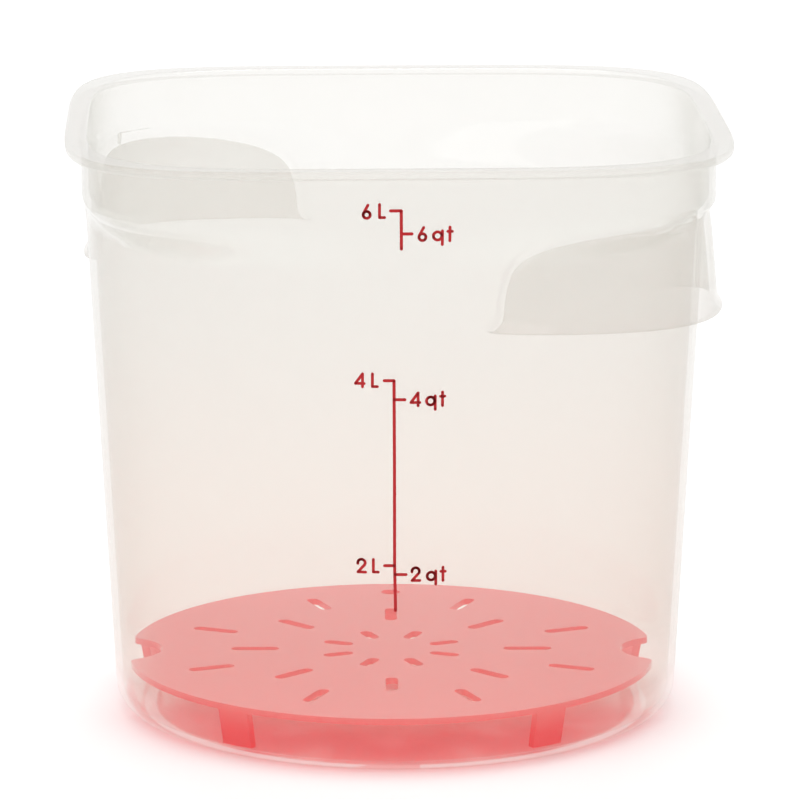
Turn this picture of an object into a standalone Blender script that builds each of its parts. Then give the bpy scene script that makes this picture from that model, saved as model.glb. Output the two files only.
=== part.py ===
"""Food storage container with a lift-out drain shelf.

The container is one thin-walled moulding: a round body that widens upwards, a rounded-square neck and
rim, and two hollow handle hoods on opposite corners of the neck. The drain shelf is a slotted disc on
five short feet that stands loose on the container's floor. Metres, +Z up, base centre at the origin.
"""

import math

import bmesh
import bpy
from mathutils import Matrix, Vector

# Container, overall
HEIGHT = 0.2089
WALL = 0.0025
FLOOR = 0.0027

# Container, round body
BODY_BOTTOM_RADIUS = 0.0984
BODY_TOP_RADIUS = 0.1079
CORNER_RADIUS = 0.0098
INNER_CORNER_RADIUS = 0.0050
BASE_RECESS = 0.0005
FOOT_RING_WIDTH = 0.0040
RECESS_DRAFT = 0.0004

# Container, neck and lip: the neck's flat sides stand almost flush with the top of the body
NECK_STAND_OUT = 0.0001
NECK_POWER = 4.2
NECK_HEIGHT = 0.0199
SHOULDER_HEIGHT = 0.0160
LIP_REACH = 0.0054
RIM_POWER = 4.6
LIP_THICKNESS = 0.0030
LIP_ROUND = 0.0008
MOUTH_ROUND = 0.0016

# Handle hoods, on the +X -Y and the -X +Y corners
HANDLE_ANGLES = (math.radians(-45), math.radians(135))
HANDLE_HALF_SPAN = math.radians(28.7)
HANDLE_DROP = 0.0356
HANDLE_RISE = 0.0032
HANDLE_WALL = 0.0025
HANDLE_RECESS = 0.0020
HANDLE_FLARE = 0.0029
HANDLE_EDGE = 0.0014
HANDLE_SIDE_EDGE = 0.0030
HANDLE_EDGE_HEIGHT = 0.0045
HANDLE_POWER = 4.6
ARCH_POWER = 3.0
HOOD_POWER = 5.0
POCKET_MARGIN = 0.0001

# Lug under the neck at the middle of each handle
LUG_WIDTH = 0.0154
LUG_DROP = 0.0002
LUG_HEIGHT = 0.0045
LUG_DEPTH = 0.0036
LUG_STAND_OFF = 0.0012
NUB_WIDTH = 0.0096
NUB_HEIGHT = 0.0022
LUG_ROUND = 0.0008

# Drain shelf
SHELF_GAP = 0.0031
SHELF_THICKNESS = 0.0022
FOOT_HEIGHT = 0.0128
FOOT_WIDTH = 0.0122
FOOT_DEPTH = 0.0030
FOOT_INSET = 0.0003
FOOT_TAPER = 0.0025
FOOT_COUNT = 5
SHELF_CLEARANCE = 0.0003
SHELF_SHIFT = -0.0014
SHELF_TURN = math.radians(-1.6)
SLOT_WIDTH = 0.0044
SLOT_COUNT = 8
SLOT_RING_SHARES = (
    {"inner": 0.1584, "outer": 0.2759, "turn": 0.5},
    {"inner": 0.4256, "outer": 0.6088, "turn": 0.0},
    {"inner": 0.6401, "outer": 0.8222, "turn": 0.5},
)
NOTCH_WIDTH = 0.0300
NOTCH_DEPTH = 0.0121
NOTCH_ROUND = 0.0025
PEG_HOLE_RADIUS = 0.0035
PEG_HOLE_INSET = 0.0121

# How finely curves are cut
AROUND = 96
CORNER_STEPS = 5
SHOULDER_STEPS = 6
HOOD_STEPS = 33
HOOD_LEVELS = 10
SLOT_END_STEPS = 6
NOTCH_STEPS = 12
DISC_STEPS = 40
OVERRUN = 0.004
CREASE_ANGLE = math.radians(32)

# Worked out from the sizes above
NECK_WIDTH = 2 * (BODY_TOP_RADIUS + NECK_STAND_OUT)
RIM_WIDTH = NECK_WIDTH + 2 * LIP_REACH
SHELF_RADIUS = BODY_BOTTOM_RADIUS - WALL - SHELF_GAP
NECK_BOTTOM = HEIGHT - NECK_HEIGHT
SHOULDER_BOTTOM = NECK_BOTTOM - SHOULDER_HEIGHT
FOOT_RING_RADIUS = BODY_BOTTOM_RADIUS - CORNER_RADIUS
FLOOR_TOP = BASE_RECESS + FLOOR
HANDLE_BOTTOM = NECK_BOTTOM - HANDLE_DROP
HANDLE_TOP = NECK_BOTTOM + HANDLE_RISE
SHELF_BOTTOM = FLOOR_TOP + SHELF_CLEARANCE + FOOT_HEIGHT


def squircle_radius(angle, half_width, power):
    """Distance from the axis to a square with rounded corners, at this angle."""
    total = abs(math.cos(angle)) ** power + abs(math.sin(angle)) ** power
    return half_width / total ** (1 / power)


def neck_radius(angle):
    return squircle_radius(angle, NECK_WIDTH / 2, NECK_POWER)


def rim_radius(angle):
    return squircle_radius(angle, RIM_WIDTH / 2, RIM_POWER)


def body_radius(z):
    """The round body widens evenly from its bottom corner to the neck."""
    rise = (z - CORNER_RADIUS) / (NECK_BOTTOM - CORNER_RADIUS)
    return BODY_BOTTOM_RADIUS + (BODY_TOP_RADIUS - BODY_BOTTOM_RADIUS) * rise


def shell_radius(angle, z):
    """Outer skin below the neck: the round body, drawn out at the corners by the shoulder."""
    rise = min(1, max(0, (z - SHOULDER_BOTTOM) / SHOULDER_HEIGHT))
    eased = rise * rise * (3 - 2 * rise)
    blend = (rise + eased) / 2
    body = body_radius(min(z, NECK_BOTTOM))
    return body + (neck_radius(angle) - body) * blend


def ring(radius_at, z, count=AROUND):
    """A closed loop of points round the axis; radius_at takes the angle."""
    points = []
    for step in range(count):
        angle = 2 * math.pi * step / count
        radius = radius_at(angle)
        points.append((radius * math.cos(angle), radius * math.sin(angle), z))
    return points


def arc_shares(steps):
    """Pairs (sine, cosine) through a quarter turn."""
    turns = [math.pi / 2 * step / steps for step in range(steps + 1)]
    return [(math.sin(turn), math.cos(turn)) for turn in turns]


def loft(name, rings):
    """One closed body through rings with equal numbers of points, with a flat cap at each end."""
    shape = bmesh.new()
    rows = [[shape.verts.new(point) for point in points] for points in rings]
    for low, high in zip(rows, rows[1:]):
        for step in range(len(low)):
            shape.faces.new((low[step - 1], low[step], high[step], high[step - 1]))
    shape.faces.new(rows[0])
    shape.faces.new(rows[-1])
    bmesh.ops.recalc_face_normals(shape, faces=shape.faces)
    return object_from(name, shape)


def object_from(name, shape):
    mesh = bpy.data.meshes.new(name)
    shape.to_mesh(mesh)
    shape.free()
    made = bpy.data.objects.new(name, mesh)
    bpy.context.scene.collection.objects.link(made)
    return made


def combine(target, operation, other):
    """Joins another body to the target, or cuts it away, and removes it."""
    modifier = target.modifiers.new(other.name, "BOOLEAN")
    modifier.operation = operation
    modifier.object = other
    graph = bpy.context.evaluated_depsgraph_get()
    result = bpy.data.meshes.new_from_object(target.evaluated_get(graph))
    target.modifiers.clear()
    target.data = result
    bpy.data.objects.remove(other)


def body_block(name, grow=0.0):
    """The container's outer form as a solid, without its handles."""
    recess_radius = FOOT_RING_RADIUS - FOOT_RING_WIDTH
    rings = [
        ring(lambda angle: recess_radius - RECESS_DRAFT, BASE_RECESS),
        ring(lambda angle: recess_radius, 0),
    ]
    for sine, cosine in arc_shares(CORNER_STEPS):
        radius = FOOT_RING_RADIUS + CORNER_RADIUS * sine + grow
        rings.append(ring(lambda angle: radius, CORNER_RADIUS * (1 - cosine)))
    for step in range(SHOULDER_STEPS + 1):
        z = SHOULDER_BOTTOM + SHOULDER_HEIGHT * step / SHOULDER_STEPS
        rings.append(ring(lambda angle: shell_radius(angle, z) + grow, z))
    lip_bottom = HEIGHT - LIP_THICKNESS
    overhang_profile = (
        (0, lip_bottom - LIP_ROUND),
        (LIP_ROUND, lip_bottom),
    )
    for out, z in overhang_profile:
        rings.append(ring(lambda angle: neck_radius(angle) + out, z))
    rim_profile = (
        (LIP_ROUND, lip_bottom),
        (0, lip_bottom + LIP_ROUND),
        (0, HEIGHT - LIP_ROUND),
        (LIP_ROUND, HEIGHT),
    )
    for inset, z in rim_profile:
        rings.append(ring(lambda angle: rim_radius(angle) - inset, z))
    return loft(name, rings)


def interior_block():
    """What the container holds: everything inside its walls, up through the mouth."""
    shoulder_lift = WALL / 2
    rings = []
    wall_foot = FLOOR_TOP + INNER_CORNER_RADIUS
    for sine, cosine in arc_shares(CORNER_STEPS):
        z = FLOOR_TOP + INNER_CORNER_RADIUS * (1 - cosine)
        radius = body_radius(wall_foot) - WALL - INNER_CORNER_RADIUS * (1 - sine)
        rings.append(ring(lambda angle: radius, z))
    for step in range(SHOULDER_STEPS + 1):
        z = SHOULDER_BOTTOM + SHOULDER_HEIGHT * step / SHOULDER_STEPS
        rings.append(ring(lambda angle: shell_radius(angle, z) - WALL, z + shoulder_lift))
    mouth_profile = (
        (0, HEIGHT - MOUTH_ROUND),
        (MOUTH_ROUND / 3, HEIGHT - MOUTH_ROUND / 3),
        (MOUTH_ROUND, HEIGHT),
        (MOUTH_ROUND, HEIGHT + OVERRUN),
    )
    for out, z in mouth_profile:
        rings.append(ring(lambda angle: neck_radius(angle) - WALL + out, z))
    return loft("interior", rings)


def hood_ring(middle, z, inset):
    """One level of a handle hood: its rounded outer face, closed across the inside of the body."""
    top = HANDLE_TOP - inset
    share = min(1, max(0, (z - HANDLE_BOTTOM) / (top - HANDLE_BOTTOM)))
    near_edge = max(0, 1 - max(0, z - HANDLE_BOTTOM) / HANDLE_EDGE_HEIGHT)
    base = body_radius(z) - WALL
    arch = (1 - share**ARCH_POWER) ** (1 / ARCH_POWER)
    side_grow = HANDLE_SIDE_EDGE * near_edge * near_edge - inset
    half_span = HANDLE_HALF_SPAN * arch + side_grow / base
    drop = max(0, (NECK_BOTTOM - z) / HANDLE_DROP)
    grow = HANDLE_EDGE * near_edge * near_edge - inset
    half_width = NECK_WIDTH / 2 - HANDLE_RECESS + HANDLE_FLARE * drop + grow
    outer, inner = [], []
    for step in range(HOOD_STEPS + 1):
        along = math.cos(math.pi * step / HOOD_STEPS)
        out = (1 - abs(along) ** HOOD_POWER) ** (1 / HOOD_POWER)
        angle = middle - half_span * along
        radius = base + (squircle_radius(angle, half_width, HANDLE_POWER) - base) * out
        outer.append((radius * math.cos(angle), radius * math.sin(angle), z))
        deep = base - WALL
        inner.append((deep * math.cos(angle), deep * math.sin(angle), z))
    return outer + inner[::-1]


def hood_block(name, middle, inset=0.0, below=0.0):
    """A handle hood as a solid; with an inset and a drop below, the space inside it."""
    highest_share = 0.995
    bottom = HANDLE_BOTTOM - below
    top = HANDLE_BOTTOM + (HANDLE_TOP - inset - HANDLE_BOTTOM) * highest_share
    edge_levels = [HANDLE_BOTTOM + HANDLE_EDGE_HEIGHT * step / 3 for step in range(3)]
    levels = [bottom] if below else []
    levels += edge_levels
    start = HANDLE_BOTTOM + HANDLE_EDGE_HEIGHT
    for step in range(HOOD_LEVELS + 1):
        climb = math.sin(math.pi / 2 * step / HOOD_LEVELS)
        levels.append(start + (top - start) * climb)
    return loft(name, [hood_ring(middle, z, inset) for z in levels])


def lug_block(name, middle, width, bottom, top, inner, outer):
    """A block across the middle of a handle, between two distances from the axis."""
    shape = bmesh.new()
    size = Vector((outer - inner, width, top - bottom))
    place = Matrix.Translation(((outer + inner) / 2, 0, (top + bottom) / 2))
    bmesh.ops.create_cube(shape, size=1, matrix=place @ Matrix.Diagonal(size).to_4x4())
    bmesh.ops.bevel(shape, geom=shape.edges[:], offset=LUG_ROUND, segments=2, profile=0.5, affect="EDGES")
    shape.transform(Matrix.Rotation(middle, 4, "Z"))
    return object_from(name, shape)


def make_container():
    container = body_block("container")
    for number, middle in enumerate(HANDLE_ANGLES):
        combine(container, "UNION", hood_block(f"hood_{number}", middle))
    combine(container, "DIFFERENCE", interior_block())
    for number, middle in enumerate(HANDLE_ANGLES):
        pocket = hood_block(f"pocket_{number}", middle, HANDLE_WALL, OVERRUN)
        combine(pocket, "DIFFERENCE", body_block("pocket_back", POCKET_MARGIN))
        combine(container, "DIFFERENCE", pocket)
        add_lug(container, middle)
    return container


def add_lug(container, middle):
    """The stop under the neck, with a narrower nub below it, both set into the handle's wall."""
    outer = neck_radius(middle) + LUG_STAND_OFF
    inner = outer - LUG_DEPTH
    lug_top = NECK_BOTTOM - LUG_DROP
    lug_bottom = lug_top - LUG_HEIGHT
    lug = lug_block("lug", middle, LUG_WIDTH, lug_bottom, lug_top, inner, outer)
    nub_inner = inner + LUG_STAND_OFF / 4
    nub_outer = outer - LUG_STAND_OFF / 2
    nub_top = lug_top - LUG_HEIGHT / 2
    nub_bottom = lug_bottom - NUB_HEIGHT
    combine(lug, "UNION", lug_block("nub", middle, NUB_WIDTH, nub_bottom, nub_top, nub_inner, nub_outer))
    combine(container, "UNION", lug)


def shelf_outline():
    """The disc's edge with a round finger notch on its -X and its +X side."""
    half_mouth = NOTCH_WIDTH / 2
    notch_radius = (half_mouth**2 + NOTCH_DEPTH**2) / (2 * NOTCH_DEPTH)
    centre = SHELF_RADIUS - NOTCH_DEPTH + notch_radius
    mouth_turn = math.asin(half_mouth / SHELF_RADIUS)
    reach = math.acos((centre - SHELF_RADIUS * math.cos(mouth_turn)) / notch_radius)
    half = []
    for step in range(DISC_STEPS + 1):
        angle = mouth_turn + (math.pi - 2 * mouth_turn) * step / DISC_STEPS
        half.append((SHELF_RADIUS * math.cos(angle), SHELF_RADIUS * math.sin(angle)))
    for step in range(1, NOTCH_STEPS):
        turn = reach - 2 * reach * step / NOTCH_STEPS
        x = -centre + notch_radius * math.cos(turn)
        half.append((x, notch_radius * math.sin(turn)))
    return half + [(-x, -y) for x, y in half]


def prism(name, outlines, bottom, top):
    """Upright closed bodies, one for each outline."""
    shape = bmesh.new()
    for outline in outlines:
        low = [shape.verts.new((x, y, bottom)) for x, y in outline]
        high = [shape.verts.new((x, y, top)) for x, y in outline]
        for step in range(len(outline)):
            shape.faces.new((low[step - 1], low[step], high[step], high[step - 1]))
        shape.faces.new(low[::-1])
        shape.faces.new(high)
    bmesh.ops.recalc_face_normals(shape, faces=shape.faces)
    return object_from(name, shape)


def slot_outline(inner, outer, angle):
    """A straight slot with round ends, lying along a radius."""
    half = SLOT_WIDTH / 2
    points = []
    for centre, start in ((outer - half, -math.pi / 2), (inner + half, math.pi / 2)):
        for step in range(SLOT_END_STEPS + 1):
            turn = start + math.pi * step / SLOT_END_STEPS
            points.append(Vector((centre + half * math.cos(turn), half * math.sin(turn))))
    turned = Matrix.Rotation(angle, 2)
    return [tuple(turned @ point) for point in points]


def slot_outlines():
    pitch = 2 * math.pi / SLOT_COUNT
    found = []
    for shares in SLOT_RING_SHARES:
        inner = SHELF_RADIUS * shares["inner"]
        outer = SHELF_RADIUS * shares["outer"]
        for number in range(SLOT_COUNT):
            found.append(slot_outline(inner, outer, pitch * (number + shares["turn"])))
    return found


def peg_hole_outline():
    centre = SHELF_RADIUS - PEG_HOLE_INSET
    turns = [2 * math.pi * step / (2 * SLOT_END_STEPS) for step in range(2 * SLOT_END_STEPS)]
    return [
        (PEG_HOLE_RADIUS * math.cos(turn), centre + PEG_HOLE_RADIUS * math.sin(turn))
        for turn in turns
    ]


def foot_block(name, angle):
    """A curved tab just inside the disc's edge, leaning in towards its lower end."""
    outer = SHELF_RADIUS - FOOT_INSET
    half_turn = FOOT_WIDTH / outer / 2
    turns = [angle + half_turn * share for share in (-1, -0.5, 0, 0.5, 1)]
    rings = []
    for z, lean in (
        (SHELF_BOTTOM - FOOT_HEIGHT, FOOT_TAPER),
        (SHELF_BOTTOM, 0),
        (SHELF_BOTTOM + SHELF_THICKNESS / 2, 0),
    ):
        face = [(outer - lean, turn) for turn in turns]
        back = [(outer - lean - FOOT_DEPTH, turn) for turn in reversed(turns)]
        rings.append([(r * math.cos(turn), r * math.sin(turn), z) for r, turn in face + back])
    return loft(name, rings)


def round_notch_corners(shelf):
    """Takes the points off the four corners where a notch meets the disc's edge."""
    shape = bmesh.new()
    shape.from_mesh(shelf.data)
    corners = []
    for edge in shape.edges:
        low, high = edge.verts
        upright = low.co.xy == high.co.xy
        if upright and abs(edge.calc_face_angle_signed()) > CREASE_ANGLE:
            corners.append(edge)
    bmesh.ops.bevel(shape, geom=corners, offset=NOTCH_ROUND, segments=3, profile=0.5, affect="EDGES")
    shape.to_mesh(shelf.data)
    shape.free()


def make_drain_shelf():
    shelf_top = SHELF_BOTTOM + SHELF_THICKNESS
    shelf = prism("drain_shelf", [shelf_outline()], SHELF_BOTTOM, shelf_top)
    round_notch_corners(shelf)
    for number in range(FOOT_COUNT):
        angle = math.pi / 2 + 2 * math.pi * number / FOOT_COUNT
        combine(shelf, "UNION", foot_block(f"foot_{number}", angle))
    cuts = slot_outlines() + [peg_hole_outline()]
    cut_bottom = SHELF_BOTTOM - OVERRUN
    combine(shelf, "DIFFERENCE", prism("cuts", cuts, cut_bottom, shelf_top + OVERRUN))
    shelf.location.x = SHELF_SHIFT
    shelf.rotation_euler.z = SHELF_TURN
    return shelf


def finish(made, name, colour, roughness, transmission):
    """Smooth shading with crisp corners, and the plastic's colour."""
    material = bpy.data.materials.new(name)
    material.use_nodes = True
    shader = material.node_tree.nodes["Principled BSDF"]
    shader.inputs["Base Color"].default_value = (*colour, 1)
    shader.inputs["Roughness"].default_value = roughness
    shader.inputs["Metallic"].default_value = 0
    shader.inputs["Transmission Weight"].default_value = transmission
    made.data.materials.clear()
    made.data.materials.append(material)
    made.data.shade_smooth()
    made.data.set_sharp_from_angle(angle=CREASE_ANGLE)


def clear_scene():
    for old in list(bpy.data.objects):
        bpy.data.objects.remove(old)


def main():
    clear_scene()
    container = make_container()
    finish(container, "natural_polypropylene", (0.86, 0.84, 0.79), 0.35, 0.4)
    shelf = make_drain_shelf()
    finish(shelf, "red_polypropylene", (0.75, 0.03, 0.04), 0.35, 0.3)


main()
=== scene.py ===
"""Looks of a round food storage container: milky translucent plastic, a red drain shelf, a printed measuring
scale and a plain white studio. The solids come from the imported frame, in metres, +Z up."""

import math

import bmesh
import bpy
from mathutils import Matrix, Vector
from mathutils.bvhtree import BVHTree

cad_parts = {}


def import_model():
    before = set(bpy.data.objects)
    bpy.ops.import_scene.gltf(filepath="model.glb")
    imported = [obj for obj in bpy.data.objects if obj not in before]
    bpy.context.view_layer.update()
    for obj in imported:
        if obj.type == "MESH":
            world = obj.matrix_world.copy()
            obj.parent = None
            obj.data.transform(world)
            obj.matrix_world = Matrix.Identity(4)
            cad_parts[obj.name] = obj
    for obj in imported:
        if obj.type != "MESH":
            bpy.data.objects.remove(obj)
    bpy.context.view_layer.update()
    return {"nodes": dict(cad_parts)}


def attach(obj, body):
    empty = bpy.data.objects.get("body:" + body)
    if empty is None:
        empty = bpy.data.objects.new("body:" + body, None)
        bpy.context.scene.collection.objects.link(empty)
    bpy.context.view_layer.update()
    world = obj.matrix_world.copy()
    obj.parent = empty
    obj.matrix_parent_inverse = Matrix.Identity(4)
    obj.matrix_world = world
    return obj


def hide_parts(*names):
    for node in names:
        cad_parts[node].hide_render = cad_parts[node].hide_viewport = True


MM = 0.001

# Camera, fitted to the photograph
CAMERA_PLACE = (-0.06093, -1.89628, 0.52146)
CAMERA_TURN = (math.pi / 2 - 0.21448, 0, -0.03299)
CAMERA_LENS = 250.0
CAMERA_SENSOR = 36.0
CAMERA_REACH = 50.0

# Studio. The floor's lift grows from under the object to just outside it
WHITE = (1, 1, 1, 1)
FLOOR_SIZE = 14.0
FLOOR_COLOUR = (0.90, 0.90, 0.90, 1)
FLOOR_LIFT = 0.16
LIFT_FROM = 0.050
LIFT_TO = 0.112
SKY_LIGHT = 0.80
KEY_FROM = (0.0, 0.45, 0.85)
KEY_WIDTH = math.radians(28)
KEY_STRENGTH = 0.22
FILL_FROM = (-0.5, -0.8, 0.7)
FILL_WIDTH = math.radians(60)
FILL_STRENGTH = 0.16
CLEAR_LAYERS = 32

# How fast gloss and haze grow as a face is seen more and more edge-on
EVEN_BLEND = 0.5
GLOSS_POWER = 5.0
EDGE_POWER = 4.0
FACE_ON_GLOSS = 0.035

# Wall plastic: how much of the light each face scatters, and the colour that it scatters low and high on the wall
HAZE_FOOT = 0.06
HAZE_LOW = 0.14
HAZE_HIGH = 0.17
HAZE_EDGE = 0.30
# The low colour is partly the plastic's warm tint and partly painted red bounce light from the shelf; it fades
# into the high colour between the two heights below
WALL_LOW_TINT_AND_BOUNCE = (0.80, 0.68, 0.59, 1)
WALL_HIGH_COLOUR = (0.71, 0.71, 0.68, 1)
FOOT_CLEAR_FROM = 0.010
FOOT_CLEAR_TO = 0.018
WALL_TINT_AND_BOUNCE_FROM = 0.02
WALL_TINT_AND_BOUNCE_TO = 0.17
CLEAR_COLOUR = (0.990, 0.985, 0.975, 1)
CLEAR_EDGE_COLOUR = (0.86, 0.85, 0.82, 1)
WALL_GLOSS = 0.75
WALL_ROUGHNESS = 0.10
FORWARD_SHARE = 0.80
FLOW_SCALE = 22.0
FLOW_DETAIL = 3.0
FLOW_HAZE = 0.02
WALL_GRAIN_SCALE = 900.0
GRAIN_DETAIL = 2.0
WALL_BUMP = 0.04
WALL_BUMP_DEPTH = 0.0004

# Shelf plastic
SHELF_COLOUR = (0.99, 0.05, 0.12, 1)
SHELF_GLOW_COLOUR = (1.0, 0.07, 0.14, 1)
SHELF_PASS_COLOUR = (1.0, 0.24, 0.33, 1)
SHELF_PASS = 0.35
SHELF_GLOW = 0.78
SHELF_GLOSS = 1.25
SHELF_ROUGHNESS = 0.26
SHELF_SHADE = 0.94
CLOUD_SCALE = 30.0
CLOUD_DETAIL = 3.0
SHELF_GRAIN_SCALE = 1400.0
SHELF_BUMP = 0.10
SHELF_BUMP_DEPTH = 0.0003

# Smooth copies of the solids
WELD = 0.00001
FLAT_ANGLE = math.radians(0.4)
CREASE_ANGLE = math.radians(32)

# Printed scale, in millimetres on the wall: along it from the middle of the front, and up from the base
INK_COLOUR = (0.42, 0.002, 0.006, 1)
INK_BRIGHTER = 1.25
MOTTLE_SCALE = 1500.0
INK_ROUGHNESS = 0.45
INK_IOR = 1.45
INK_PROUD = 0.05
INK_THICKNESS = 0.04
CAP_HEIGHT = 5.15
LETTER_STROKE = 0.98
BAR_STROKE = 1.06
STROKE_STEP = 1.0
CAP_STEPS = 6
TURN_ANGLE = math.radians(3)
RAY_START = 0.2
BARS = (
    ((-5.0, 195.05), (-1.5, 195.05), (-1.45, 182.3)),
    ((-1.5, 187.35), (2.0, 187.35)),
    ((-7.0, 137.6), (-3.8, 137.6), (-3.6, 110.0), (-3.5, 74.0), (-3.15, 58.3)),
    ((-3.8, 131.1), (-0.2, 131.1)),
    ((-6.8, 73.9), (-3.5, 73.9)),
    ((-3.3, 70.8), (0.3, 70.8)),
)
LETTERS = (
    ("6", -14.33, 192.20),
    ("L", -9.06, 192.40),
    ("6", 3.86, 184.68),
    ("q", 8.62, 184.68),
    ("t", 13.40, 184.68),
    ("4", -17.04, 135.05),
    ("L", -11.40, 135.10),
    ("4", 1.34, 128.60),
    ("q", 6.55, 128.60),
    ("t", 11.32, 128.60),
    ("2", -16.23, 71.17),
    ("L", -11.05, 71.20),
    ("2", 1.84, 68.30),
    ("q", 6.95, 68.20),
    ("t", 11.70, 68.20),
)


def arc(x, y, radius, start, end, steps=20):
    """Points round a centre, from one angle to another in degrees, in shares of the cap height."""
    turns = [math.radians(start + (end - start) * step / steps) for step in range(steps + 1)]
    return [(x + radius * math.cos(turn), y + radius * math.sin(turn)) for turn in turns]


# Each letter is drawn as strokes along their middles, in shares of the cap height
GLYPH_SHARES = {
    "6": (arc(0.305, 0.305, 0.22, 0, 360, 28), [(0.385, 0.93), (0.24, 0.66), (0.115, 0.42)]),
    "4": ([(0.55, 0.07), (0.55, 0.93), (0.09, 0.29), (0.66, 0.29)],),
    "2": (arc(0.325, 0.70, 0.24, 190, -35) + [(0.09, 0.075), (0.60, 0.075)],),
    "L": ([(0.09, 0.93), (0.09, 0.085), (0.41, 0.085)],),
    "q": (arc(0.345, 0.375, 0.265, 0, 360, 28), [(0.645, 0.71), (0.645, -0.19)]),
    "t": ([(0.19, 0.95), (0.19, 0.05)], [(0.06, 0.67), (0.34, 0.67)]),
}


def new_material(name):
    """A material with an empty node tree, and the tree."""
    material = bpy.data.materials.new(name)
    material.use_nodes = True
    tree = material.node_tree
    tree.nodes.clear()
    return material, tree


def node(tree, kind, **inputs):
    """A shader node with its named sockets set or linked. Underscores in the names stand for spaces."""
    made = tree.nodes.new(kind)
    for name, value in inputs.items():
        socket = made.inputs[name.replace("_", " ")]
        if isinstance(value, bpy.types.NodeSocket):
            tree.links.new(value, socket)
        else:
            socket.default_value = value
    return made


def math_node(tree, operation, first, second=0.0, third=0.0):
    made = tree.nodes.new("ShaderNodeMath")
    made.operation = operation
    for socket, value in zip(made.inputs, (first, second, third)):
        if isinstance(value, bpy.types.NodeSocket):
            tree.links.new(value, socket)
        else:
            socket.default_value = value
    return made.outputs[0]


def mix_shader(tree, share, first, second):
    made = tree.nodes.new("ShaderNodeMixShader")
    if isinstance(share, bpy.types.NodeSocket):
        tree.links.new(share, made.inputs[0])
    else:
        made.inputs[0].default_value = share
    tree.links.new(first.outputs[0], made.inputs[1])
    tree.links.new(second.outputs[0], made.inputs[2])
    return made


def mix_colour(tree, share, first, second):
    made = tree.nodes.new("ShaderNodeMix")
    made.data_type = "RGBA"
    for socket, value in zip((made.inputs[0], made.inputs[6], made.inputs[7]), (share, first, second)):
        if isinstance(value, bpy.types.NodeSocket):
            tree.links.new(value, socket)
        else:
            socket.default_value = value
    return made.outputs[2]


def height_share(tree, low, high):
    """0 below one height and 1 above another, smooth between."""
    place = tree.nodes.new("ShaderNodeTexCoord").outputs["Object"]
    split = node(tree, "ShaderNodeSeparateXYZ", Vector=place)
    ramp = tree.nodes.new("ShaderNodeMapRange")
    ramp.interpolation_type = "SMOOTHSTEP"
    tree.links.new(split.outputs["Z"], ramp.inputs["Value"])
    ramp.inputs["From Min"].default_value = low
    ramp.inputs["From Max"].default_value = high
    return ramp.outputs["Result"]


def noise(tree, place, scale, detail):
    made = node(tree, "ShaderNodeTexNoise", Vector=place, Scale=scale, Detail=detail)
    return made.outputs["Fac"]


def fine_bump(tree, place, scale, strength, depth):
    """The fine grain of a moulded surface, as a normal."""
    grain = noise(tree, place, scale, GRAIN_DETAIL)
    return node(tree, "ShaderNodeBump", Strength=strength, Distance=depth, Height=grain).outputs[0]


def scaled(colour, share):
    return tuple(channel * share for channel in colour[:3]) + (1,)


def finish_material(tree, shader):
    output = tree.nodes.new("ShaderNodeOutputMaterial")
    tree.links.new(shader.outputs[0], output.inputs["Surface"])


def gloss_share(tree, strength):
    """How much a face mirrors: little face-on and most at a grazing angle, the same from both of its sides."""
    facing = node(tree, "ShaderNodeLayerWeight", Blend=EVEN_BLEND).outputs["Facing"]
    grazing = math_node(tree, "POWER", facing, GLOSS_POWER)
    return math_node(tree, "MULTIPLY_ADD", grazing, strength * (1 - FACE_ON_GLOSS), strength * FACE_ON_GLOSS)


def wall_plastic():
    """Natural polypropylene: clear enough to see through, milky, warmer low down, where its colour is partly its
    own tint and partly painted red bounce light from the shelf, and denser seen edge-on.
    """
    material, tree = new_material("wall_plastic")
    # Colour by height: warm pink low down, partly painted red bounce light from the shelf, to the plastic's own
    # pale tint higher up
    high = height_share(tree, WALL_TINT_AND_BOUNCE_FROM, WALL_TINT_AND_BOUNCE_TO)
    colour = mix_colour(tree, high, WALL_LOW_TINT_AND_BOUNCE, WALL_HIGH_COLOUR)
    place = tree.nodes.new("ShaderNodeTexCoord").outputs["Object"]
    flow = noise(tree, place, FLOW_SCALE, FLOW_DETAIL)
    bump = fine_bump(tree, place, WALL_GRAIN_SCALE, WALL_BUMP, WALL_BUMP_DEPTH)
    facing = node(tree, "ShaderNodeLayerWeight", Blend=EVEN_BLEND).outputs["Facing"]
    low = height_share(tree, FOOT_CLEAR_FROM, FOOT_CLEAR_TO)
    edge = math_node(tree, "MULTIPLY", math_node(tree, "POWER", facing, EDGE_POWER), low)
    even = math_node(tree, "MULTIPLY_ADD", low, HAZE_LOW - HAZE_FOOT, HAZE_FOOT)
    even = math_node(tree, "MULTIPLY_ADD", high, HAZE_HIGH - HAZE_LOW, even)
    streaked = math_node(tree, "MULTIPLY_ADD", flow, FLOW_HAZE, even)
    haze = math_node(tree, "MULTIPLY_ADD", edge, HAZE_EDGE - HAZE_HIGH, streaked)
    passed = mix_colour(tree, edge, CLEAR_COLOUR, CLEAR_EDGE_COLOUR)
    lit = node(tree, "ShaderNodeBsdfDiffuse", Color=colour, Normal=bump)
    through = node(tree, "ShaderNodeBsdfTranslucent", Color=colour)
    clear = node(tree, "ShaderNodeBsdfTransparent", Color=passed)
    gloss = node(tree, "ShaderNodeBsdfGlossy", Color=WHITE, Roughness=WALL_ROUGHNESS, Normal=bump)
    milky = mix_shader(tree, FORWARD_SHARE, lit, through)
    hazy = mix_shader(tree, haze, clear, milky)
    finish_material(tree, mix_shader(tree, gloss_share(tree, WALL_GLOSS), hazy, gloss))
    return material


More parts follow.
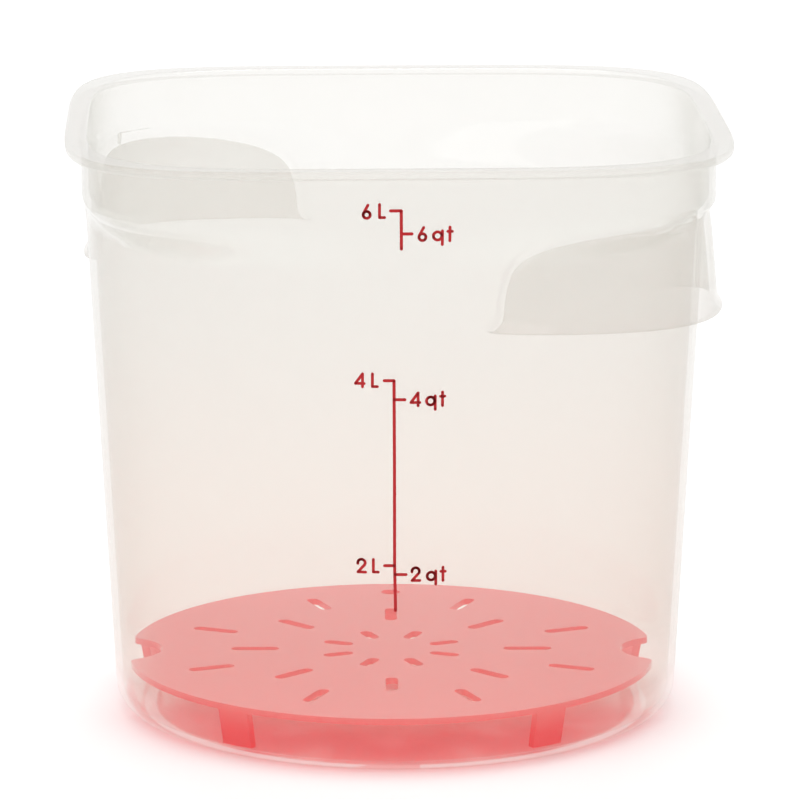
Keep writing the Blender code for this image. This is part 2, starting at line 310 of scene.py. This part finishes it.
def shelf_plastic():
    """Red polypropylene, which glows where light comes through it and pales where it mirrors the sky."""
    material, tree = new_material("shelf_plastic")
    place = tree.nodes.new("ShaderNodeTexCoord").outputs["Object"]
    cloud = noise(tree, place, CLOUD_SCALE, CLOUD_DETAIL)
    bump = fine_bump(tree, place, SHELF_GRAIN_SCALE, SHELF_BUMP, SHELF_BUMP_DEPTH)
    colour = mix_colour(tree, cloud, scaled(SHELF_COLOUR, SHELF_SHADE), SHELF_COLOUR)
    lit = node(tree, "ShaderNodeBsdfDiffuse", Color=colour, Normal=bump)
    through = node(tree, "ShaderNodeBsdfTranslucent", Color=SHELF_GLOW_COLOUR)
    clear = node(tree, "ShaderNodeBsdfTransparent", Color=SHELF_PASS_COLOUR)
    gloss = node(tree, "ShaderNodeBsdfGlossy", Color=WHITE, Roughness=SHELF_ROUGHNESS, Normal=bump)
    glowing = mix_shader(tree, SHELF_GLOW, lit, through)
    body = mix_shader(tree, SHELF_PASS, glowing, clear)
    finish_material(tree, mix_shader(tree, gloss_share(tree, SHELF_GLOSS), body, gloss))
    return material


def ink():
    """Dark red screen-printing ink."""
    material, tree = new_material("ink")
    place = tree.nodes.new("ShaderNodeTexCoord").outputs["Object"]
    mottle = noise(tree, place, MOTTLE_SCALE, GRAIN_DETAIL)
    colour = mix_colour(tree, mottle, INK_COLOUR, scaled(INK_COLOUR, INK_BRIGHTER))
    finish_material(
        tree,
        node(tree, "ShaderNodeBsdfPrincipled", Base_Color=colour, Roughness=INK_ROUGHNESS, IOR=INK_IOR),
    )
    return material


def seen_share(tree):
    """1 for the rays that show the background, straight, mirrored or through glass, and 0 for those that light."""
    path = tree.nodes.new("ShaderNodeLightPath")
    seen = math_node(tree, "MAXIMUM", path.outputs["Is Camera Ray"], path.outputs["Is Glossy Ray"])
    return math_node(tree, "MAXIMUM", seen, path.outputs["Is Transmission Ray"])


def studio_floor():
    """White paper that stays white to the camera round the object, and keeps the object's shadow."""
    material, tree = new_material("studio_floor")
    seen = seen_share(tree)
    place = tree.nodes.new("ShaderNodeTexCoord").outputs["Object"]
    distance = tree.nodes.new("ShaderNodeVectorMath")
    distance.operation = "LENGTH"
    tree.links.new(place, distance.inputs[0])
    away = distance.outputs["Value"]
    ramp = node(tree, "ShaderNodeMapRange", Value=away, From_Min=LIFT_FROM, From_Max=LIFT_TO, To_Max=FLOOR_LIFT)
    lift = math_node(tree, "MULTIPLY", seen, ramp.outputs["Result"])
    paper = node(tree, "ShaderNodeBsdfDiffuse", Color=FLOOR_COLOUR)
    glow = node(tree, "ShaderNodeEmission", Color=WHITE, Strength=lift)
    both = tree.nodes.new("ShaderNodeAddShader")
    tree.links.new(paper.outputs[0], both.inputs[0])
    tree.links.new(glow.outputs[0], both.inputs[1])
    finish_material(tree, both)
    return material


def new_object(name, shape, material):
    mesh = bpy.data.meshes.new(name)
    shape.to_mesh(mesh)
    shape.free()
    mesh.materials.append(material)
    made = bpy.data.objects.new(name, mesh)
    bpy.context.scene.collection.objects.link(made)
    return made


def stroke_points(path, step):
    """The path with points added so that none is further than a step from the next."""
    found = [Vector(path[0])]
    for point in path[1:]:
        point = Vector(point)
        count = max(1, math.ceil((point - found[-1]).length / step))
        start = found[-1]
        found += [start.lerp(point, number / count) for number in range(1, count + 1)]
    return found


def stroke_faces(shape, path, width, on_wall):
    """A flat stroke with round ends and joints along a path on the wall."""
    points = stroke_points(path, STROKE_STEP)
    half = width / 2
    for first, second in zip(points, points[1:]):
        along = (second - first).normalized()
        side = Vector((-along.y, along.x)) * half
        corners = (first + side, first - side, second - side, second + side)
        shape.faces.new([shape.verts.new(on_wall(corner)) for corner in corners])
    for centre in [points[0], points[-1]] + corners_of(points):
        turns = [math.pi * step / CAP_STEPS for step in range(2 * CAP_STEPS)]
        disc = [centre + half * Vector((math.cos(turn), math.sin(turn))) for turn in turns]
        shape.faces.new([shape.verts.new(on_wall(point)) for point in disc])


def corners_of(points):
    """The points where the path turns."""
    found = []
    for before, point, after in zip(points, points[1:], points[2:]):
        if (point - before).angle(after - point) > TURN_ANGLE:
            found.append(point)
    return found


def wall_mapper(container):
    """Takes a place in millimetres along and up the front wall to a point just proud of it."""
    tree = BVHTree.FromObject(container, bpy.context.evaluated_depsgraph_get())

    def meet(angle, height):
        way = Vector((-math.sin(angle), math.cos(angle), 0))
        point = tree.ray_cast(Vector((0, 0, height)) - way * RAY_START, way)[0]
        return point, -way

    def on_wall(place):
        height = place[1] * MM
        middle, _ = meet(0, height)
        point, outward = meet(place[0] * MM / -middle.y, height)
        return point + outward * INK_PROUD * MM

    return on_wall


def printed_scale(container, material):
    shape = bmesh.new()
    on_wall = wall_mapper(container)
    for bar in BARS:
        stroke_faces(shape, bar, BAR_STROKE, on_wall)
    for letter, left, base in LETTERS:
        for stroke in GLYPH_SHARES[letter]:
            path = [(left + x * CAP_HEIGHT, base + y * CAP_HEIGHT) for x, y in stroke]
            stroke_faces(shape, path, LETTER_STROKE, on_wall)
    bmesh.ops.recalc_face_normals(shape, faces=shape.faces)
    made = new_object("printed_scale", shape, material)
    thick = made.modifiers.new("thickness", "SOLIDIFY")
    thick.thickness = INK_THICKNESS * MM
    thick.offset = 0
    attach(made, "container")
    return made


def add_camera():
    data = bpy.data.cameras.new("camera")
    data.lens = CAMERA_LENS
    data.sensor_width = CAMERA_SENSOR
    data.clip_end = CAMERA_REACH
    camera = bpy.data.objects.new("camera", data)
    camera.location = CAMERA_PLACE
    camera.rotation_euler = CAMERA_TURN
    bpy.context.scene.collection.objects.link(camera)
    bpy.context.scene.camera = camera


def add_lamp(name, direction, width, strength):
    """A soft light from one direction, as wide as this angle, which falls evenly on the whole floor."""
    data = bpy.data.lights.new(name, "SUN")
    data.angle = width
    data.energy = strength * math.pi
    lamp = bpy.data.objects.new(name, data)
    lamp.location = Vector(direction).normalized()
    lamp.rotation_euler = Vector(direction).to_track_quat("Z", "Y").to_euler()
    bpy.context.scene.collection.objects.link(lamp)


def add_studio():
    shape = bmesh.new()
    bmesh.ops.create_grid(shape, x_segments=1, y_segments=1, size=FLOOR_SIZE / 2)
    new_object("floor", shape, studio_floor())
    world = bpy.data.worlds.new("sky")
    world.use_nodes = True
    tree = world.node_tree
    seen = seen_share(tree)
    strength = math_node(tree, "MULTIPLY_ADD", seen, 1 - SKY_LIGHT, SKY_LIGHT)
    back = tree.nodes["Background"]
    back.inputs["Color"].default_value = WHITE
    tree.links.new(strength, back.inputs["Strength"])
    bpy.context.scene.world = world
    add_lamp("key", KEY_FROM, KEY_WIDTH, KEY_STRENGTH)
    add_lamp("fill", FILL_FROM, FILL_WIDTH, FILL_STRENGTH)
    bpy.context.scene.cycles.transparent_max_bounces = CLEAR_LAYERS


def smooth_skin(frame, name, body, material):
    """A copy of a CAD node with its faces joined and smoothly shaded, which stands for the node."""
    shape = bmesh.new()
    shape.from_mesh(frame["nodes"][name].data)
    bmesh.ops.remove_doubles(shape, verts=shape.verts, dist=WELD)
    bmesh.ops.dissolve_limit(
        shape, angle_limit=FLAT_ANGLE, verts=shape.verts, edges=shape.edges, use_dissolve_boundaries=False
    )
    for face in shape.faces:
        face.smooth = True
    for edge in shape.edges:
        edge.smooth = edge.calc_face_angle(0) < CREASE_ANGLE
    made = new_object(f"{name}_skin", shape, material)
    even = made.modifiers.new("even_shading", "WEIGHTED_NORMAL")
    even.keep_sharp = True
    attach(made, body)
    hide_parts(name)
    return made


def main():
    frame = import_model()
    container = smooth_skin(frame, "container", "container", wall_plastic())
    smooth_skin(frame, "drain_shelf", "drain_shelf", shelf_plastic())
    printed_scale(container, ink())
    add_studio()
    add_camera()
    bpy.context.scene.view_settings.view_transform = "Standard"


main()
